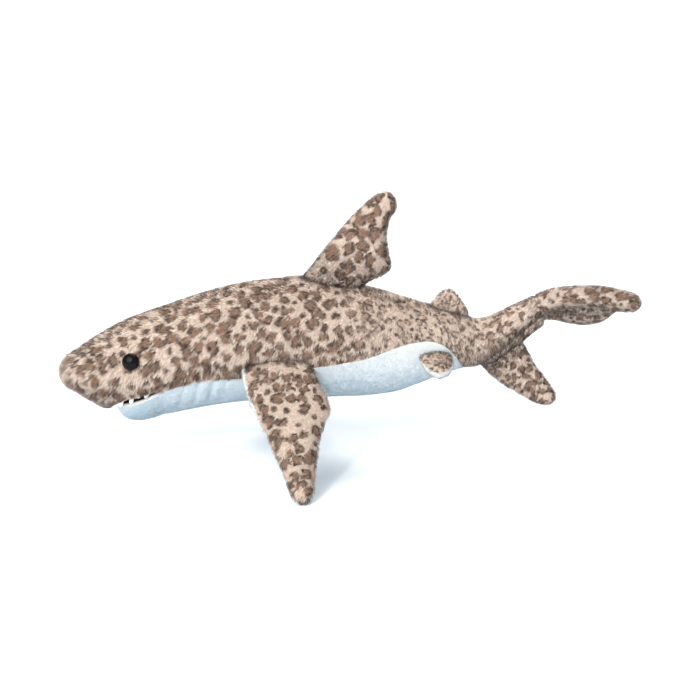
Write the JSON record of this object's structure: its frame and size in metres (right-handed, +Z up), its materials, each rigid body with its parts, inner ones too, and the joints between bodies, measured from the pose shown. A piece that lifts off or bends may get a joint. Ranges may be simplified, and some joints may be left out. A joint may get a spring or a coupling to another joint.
{
  "type": "plush shark",
  "caption": "Stuffed pile-fabric shark with spotted back, white belly, felt teeth, glossy eyes and soft fins, jaw and tail that bend at their seams",
  "frame": {"origin": "bottom centre of the whole shark's box, level with the tips of the pectoral fins", "axes": "+X towards the tail, -X towards the nose, -Y the shark's left side, +Z up"},
  "size_m": [0.438, 0.2354, 0.2051],
  "materials": {
    "leopard_plush": "matte",
    "white_plush": "matte",
    "fibre_filling": "matte",
    "mouth_lining": "matte",
    "white_felt": "matte",
    "eye_black": "gloss",
    "washer_natural": "satin"
  },
  "bodies": {
    "trunk": {"back_panel_left": "leopard_plush", "back_panel_right": "leopard_plush", "belly_panel": "white_plush", "body_stuffing": "fibre_filling", "palate_lining": "mouth_lining", "felt_teeth_left": "white_felt", "felt_teeth_right": "white_felt", "eye_left": "eye_black", "eye_right": "eye_black", "eye_washer_left": "washer_natural", "eye_washer_right": "washer_natural"},
    "lower_jaw": {"jaw_panel": "white_plush", "mouth_floor_lining": "mouth_lining", "jaw_stuffing": "fibre_filling"},
    "dorsal_fin": {"dorsal_panel_left": "leopard_plush", "dorsal_panel_right": "leopard_plush", "dorsal_stuffing": "fibre_filling"},
    "second_dorsal_fin": {"second_dorsal_panel_left": "leopard_plush", "second_dorsal_panel_right": "leopard_plush"},
    "pectoral_fin_left": {"pectoral_top_left": "leopard_plush", "pectoral_under_left": "white_plush", "pectoral_stuffing_left": "fibre_filling"},
    "pectoral_fin_right": {"pectoral_top_right": "leopard_plush", "pectoral_under_right": "white_plush", "pectoral_stuffing_right": "fibre_filling"},
    "pelvic_fin_left": {"pelvic_top_left": "leopard_plush", "pelvic_under_left": "white_plush"},
    "pelvic_fin_right": {"pelvic_top_right": "leopard_plush", "pelvic_under_right": "white_plush"},
    "tail": {"tail_panel_left": "leopard_plush", "tail_panel_right": "leopard_plush", "tail_stuffing": "fibre_filling"},
    "upper_lobe": {"upper_lobe_panel_left": "leopard_plush", "upper_lobe_panel_right": "leopard_plush", "upper_lobe_stuffing": "fibre_filling"},
    "lower_lobe": {"lower_lobe_panel_left": "leopard_plush", "lower_lobe_panel_right": "leopard_plush", "lower_lobe_stuffing": "fibre_filling"}
  },
  "joints": [
    {"name": "jaw_hinge", "type": "hinge", "parent": "trunk", "child": "lower_jaw", "pos_m": [-0.138, 0, 0.06256], "axis": [0, -1, 0], "range_deg": [-4, 14], "stiffness_Nm_per_rad": 0.2},
    {"name": "dorsal_flop", "type": "hinge", "parent": "trunk", "child": "dorsal_fin", "pos_m": [-0.00273, 0, 0.14515], "axis": [0.988, 0, -0.1545], "range_deg": [-35, 35], "stiffness_Nm_per_rad": 0.15},
    {"name": "second_dorsal_flop", "type": "hinge", "parent": "trunk", "child": "second_dorsal_fin", "pos_m": [0.07639, 0, 0.12292], "axis": [0.961, 0, -0.2765], "range_deg": [-35, 35], "stiffness_Nm_per_rad": 0.03},
    {"name": "pectoral_flap_left", "type": "hinge", "parent": "trunk", "child": "pectoral_fin_left", "pos_m": [-0.05148, -0.04739, 0.07135], "axis": [-0.9931, -0.0394, -0.1106], "range_deg": [-25, 40], "stiffness_Nm_per_rad": 0.35},
    {"name": "pectoral_flap_right", "type": "hinge", "parent": "trunk", "child": "pectoral_fin_right", "pos_m": [-0.05148, 0.04739, 0.07135], "axis": [0.9931, -0.0394, 0.1106], "range_deg": [-25, 40], "stiffness_Nm_per_rad": 0.35},
    {"name": "pelvic_flap_left", "type": "hinge", "parent": "trunk", "child": "pelvic_fin_left", "pos_m": [0.06463, -0.02761, 0.08302], "axis": [-0.9806, -0.1959, 0], "range_deg": [-25, 30], "stiffness_Nm_per_rad": 0.03},
    {"name": "pelvic_flap_right", "type": "hinge", "parent": "trunk", "child": "pelvic_fin_right", "pos_m": [0.06463, 0.02761, 0.08302], "axis": [0.9806, -0.1959, 0], "range_deg": [-25, 30], "stiffness_Nm_per_rad": 0.03},
    {"name": "tail_swing", "type": "hinge", "parent": "trunk", "child": "tail", "pos_m": [0.104, 0, 0.09374], "axis": [0, 0, 1], "range_deg": [-25, 25], "stiffness_Nm_per_rad": 0.6},
    {"name": "upper_lobe_flap", "type": "hinge", "parent": "tail", "child": "upper_lobe", "pos_m": [0.14612, 0.00324, 0.11882], "axis": [-0.1158, -0.5256, 0.8428], "range_deg": [-20, 20], "stiffness_Nm_per_rad": 0.2},
    {"name": "lower_lobe_flop", "type": "hinge", "parent": "tail", "child": "lower_lobe", "pos_m": [0.11958, 0, 0.07635], "axis": [0.8003, 0, 0.5996], "range_deg": [-30, 30], "stiffness_Nm_per_rad": 0.12}
  ]
}
